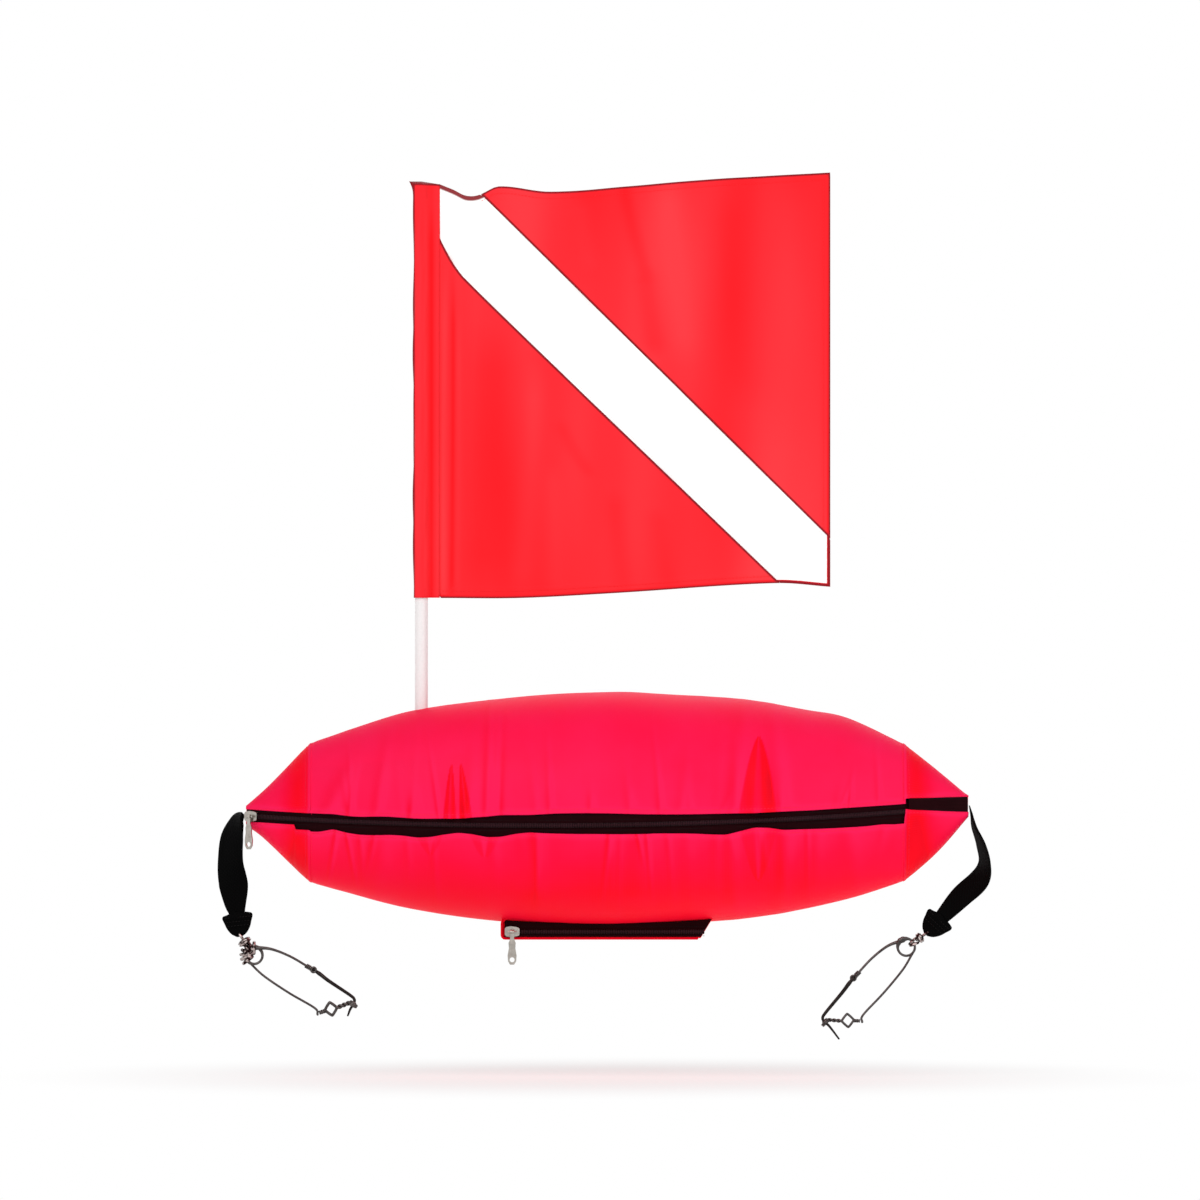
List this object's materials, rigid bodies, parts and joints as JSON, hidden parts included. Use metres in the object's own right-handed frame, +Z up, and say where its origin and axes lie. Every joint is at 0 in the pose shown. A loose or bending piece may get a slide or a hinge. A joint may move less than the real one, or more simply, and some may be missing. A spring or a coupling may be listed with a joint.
{
  "type": "dive flag float",
  "caption": "Torpedo surface float in a zipped nylon cover, with a striped flag on a pole, a keel pocket, and webbing straps with swivels and wire clips.",
  "frame": {"origin": "middle of the float at the waterline, between its two tips", "axes": "+X along the float to the viewer's right, the zip faces -Y, +Z up along the flag pole"},
  "size_m": [0.6603, 0.1978, 0.7396],
  "materials": {
    "red_nylon": "satin coated nylon, bright pinkish red",
    "nose_nylon": "satin coated nylon, deeper red",
    "flag_red": "matt woven nylon, red",
    "flag_white": "matt woven nylon, white",
    "zip_tape": "black woven polyester tape",
    "zip_coil": "black nylon coil",
    "webbing": "black polypropylene webbing",
    "nickel": "nickel-plated zinc casting",
    "wire": "bright stainless steel",
    "white_plastic": "white tube and moulding",
    "black_rubber": "black rubber",
    "vinyl": "clear grey vinyl",
    "ballast": "cast weight, dull grey"
  },
  "bodies": {
    "float_body": {"cover_upper": "red_nylon", "cover_lower": "red_nylon", "pocket_tray": "red_nylon", "cover_nose_left": "nose_nylon", "cover_nose_right": "nose_nylon", "main_zip_tape_upper": "zip_tape", "main_zip_tape_lower": "zip_tape", "pocket_zip_tape_lower": "zip_tape", "pocket_zip_tape_upper": "zip_tape", "main_zip_coil": "zip_coil", "pocket_zip_coil": "zip_coil", "main_zip_end_patch": "webbing", "bladder": "vinyl", "valve_body": "vinyl", "valve_plug": "black_rubber", "pole_socket": "white_plastic", "ballast_weight": "ballast", "strap_anchor_left": "webbing", "strap_anchor_right": "webbing"},
    "main_slider": {"main_slider": "nickel"},
    "main_pull": {"main_pull": "nickel"},
    "pocket_slider": {"pocket_slider": "nickel"},
    "pocket_pull": {"pocket_pull": "nickel"},
    "flag_pole": {"flag_pole": "white_plastic", "pole_foot_cap": "black_rubber", "pole_top_cap": "black_rubber"},
    "flag": {"flag_sleeve": "flag_red", "flag_upper_panel": "flag_red", "flag_stripe": "flag_white", "flag_lower_panel": "flag_red"},
    "strap_left": {"strap_left": "webbing", "strap_fold_left": "webbing"},
    "swivel_left": {"swivel_left": "wire"},
    "swivel_eye_left": {"swivel_eye_left": "wire"},
    "clip_frame_left": {"clip_frame_left": "wire"},
    "clip_gate_left": {"clip_gate_left": "wire"},
    "clip_link_left": {"clip_link_left": "wire"},
    "strap_right": {"strap_right": "webbing", "strap_fold_right": "webbing"},
    "swivel_right": {"swivel_right": "wire"},
    "swivel_eye_right": {"swivel_eye_right": "wire"},
    "clip_frame_right": {"clip_frame_right": "wire"},
    "clip_gate_right": {"clip_gate_right": "wire"},
    "clip_link_right": {"clip_link_right": "wire"}
  },
  "joints": [
    {"name": "main_zip_travel", "type": "hinge", "parent": "float_body", "child": "main_slider", "pos_m": [-0.00095, 0.46992, 0.05458], "axis": [-0.0139, -0.1195, 0.9927], "range_deg": [0, 56.5]},
    {"name": "main_pull_swing", "type": "hinge", "parent": "main_slider", "child": "main_pull", "pos_m": [-0.30529, -0.01749, -0.00771], "axis": [-0.8482, 0.5296, 0], "range_deg": [0, 140]},
    {"name": "pocket_zip_travel", "type": "slide", "parent": "float_body", "child": "pocket_slider", "axis": [1, 0, 0], "range_m": [0, 0.15]},
    {"name": "pocket_pull_swing", "type": "hinge", "parent": "pocket_slider", "child": "pocket_pull", "pos_m": [-0.08095, -0.032, -0.1056], "axis": [-1, 0, 0], "range_deg": [0, 100]},
    {"name": "pole_lift", "type": "slide", "parent": "float_body", "child": "flag_pole", "axis": [0, 0, 1], "range_m": [0, 0.1]},
    {"name": "flag_turn", "type": "hinge", "parent": "flag_pole", "child": "flag", "pos_m": [-0.1585, 0, 0.35], "axis": [0, 0, 1], "continuous": true},
    {"name": "strap_swing_left", "type": "hinge", "parent": "float_body", "child": "strap_left", "pos_m": [-0.30922, 0, -0.00734], "axis": [0, 1, 0], "range_deg": [-10, 40]},
    {"name": "swivel_swing_left", "type": "hinge", "parent": "strap_left", "child": "swivel_left", "pos_m": [-0.31398, 0, -0.10792], "axis": [0, -1, 0], "range_deg": [-25, 25]},
    {"name": "swivel_spin_left", "type": "hinge", "parent": "swivel_left", "child": "swivel_eye_left", "pos_m": [-0.31398, 0, -0.10792], "axis": [0.5592, 0, -0.829], "continuous": true},
    {"name": "clip_swing_left", "type": "hinge", "parent": "swivel_eye_left", "child": "clip_frame_left", "pos_m": [-0.3014, 0, -0.12657], "axis": [0, -1, 0], "range_deg": [-49, 9]},
    {"name": "gate_open_left", "type": "hinge", "parent": "clip_frame_left", "child": "clip_gate_left", "pos_m": [-0.25056, 0, -0.13888], "axis": [0, -1, 0], "range_deg": [0, 30]},
    {"name": "link_swing_left", "type": "hinge", "parent": "clip_gate_left", "child": "clip_link_left", "pos_m": [-0.21665, 0, -0.16834], "axis": [0, -1, 0], "range_deg": [0, 20]},
    {"name": "strap_swing_right", "type": "hinge", "parent": "float_body", "child": "strap_right", "pos_m": [0.30892, 0, 0.00126], "axis": [0, -1, 0], "range_deg": [-10, 40]},
    {"name": "swivel_swing_right", "type": "hinge", "parent": "strap_right", "child": "swivel_right", "pos_m": [0.27351, 0, -0.10665], "axis": [0, -1, 0], "range_deg": [-25, 25]},
    {"name": "swivel_spin_right", "type": "hinge", "parent": "swivel_right", "child": "swivel_eye_right", "pos_m": [0.27351, 0, -0.10665], "axis": [-0.8191, 0, -0.5736], "continuous": true},
    {"name": "clip_swing_right", "type": "hinge", "parent": "swivel_eye_right", "child": "clip_frame_right", "pos_m": [0.25508, 0, -0.11956], "axis": [0, -1, 0], "range_deg": [-43, 25]},
    {"name": "gate_open_right", "type": "hinge", "parent": "clip_frame_right", "child": "clip_gate_right", "pos_m": [0.20988, 0, -0.14588], "axis": [0, 1, 0], "range_deg": [0, 30]},
    {"name": "link_swing_right", "type": "hinge", "parent": "clip_gate_right", "child": "clip_link_right", "pos_m": [0.1858, 0, -0.1838], "axis": [0, 1, 0], "range_deg": [0, 20]}
  ]
}
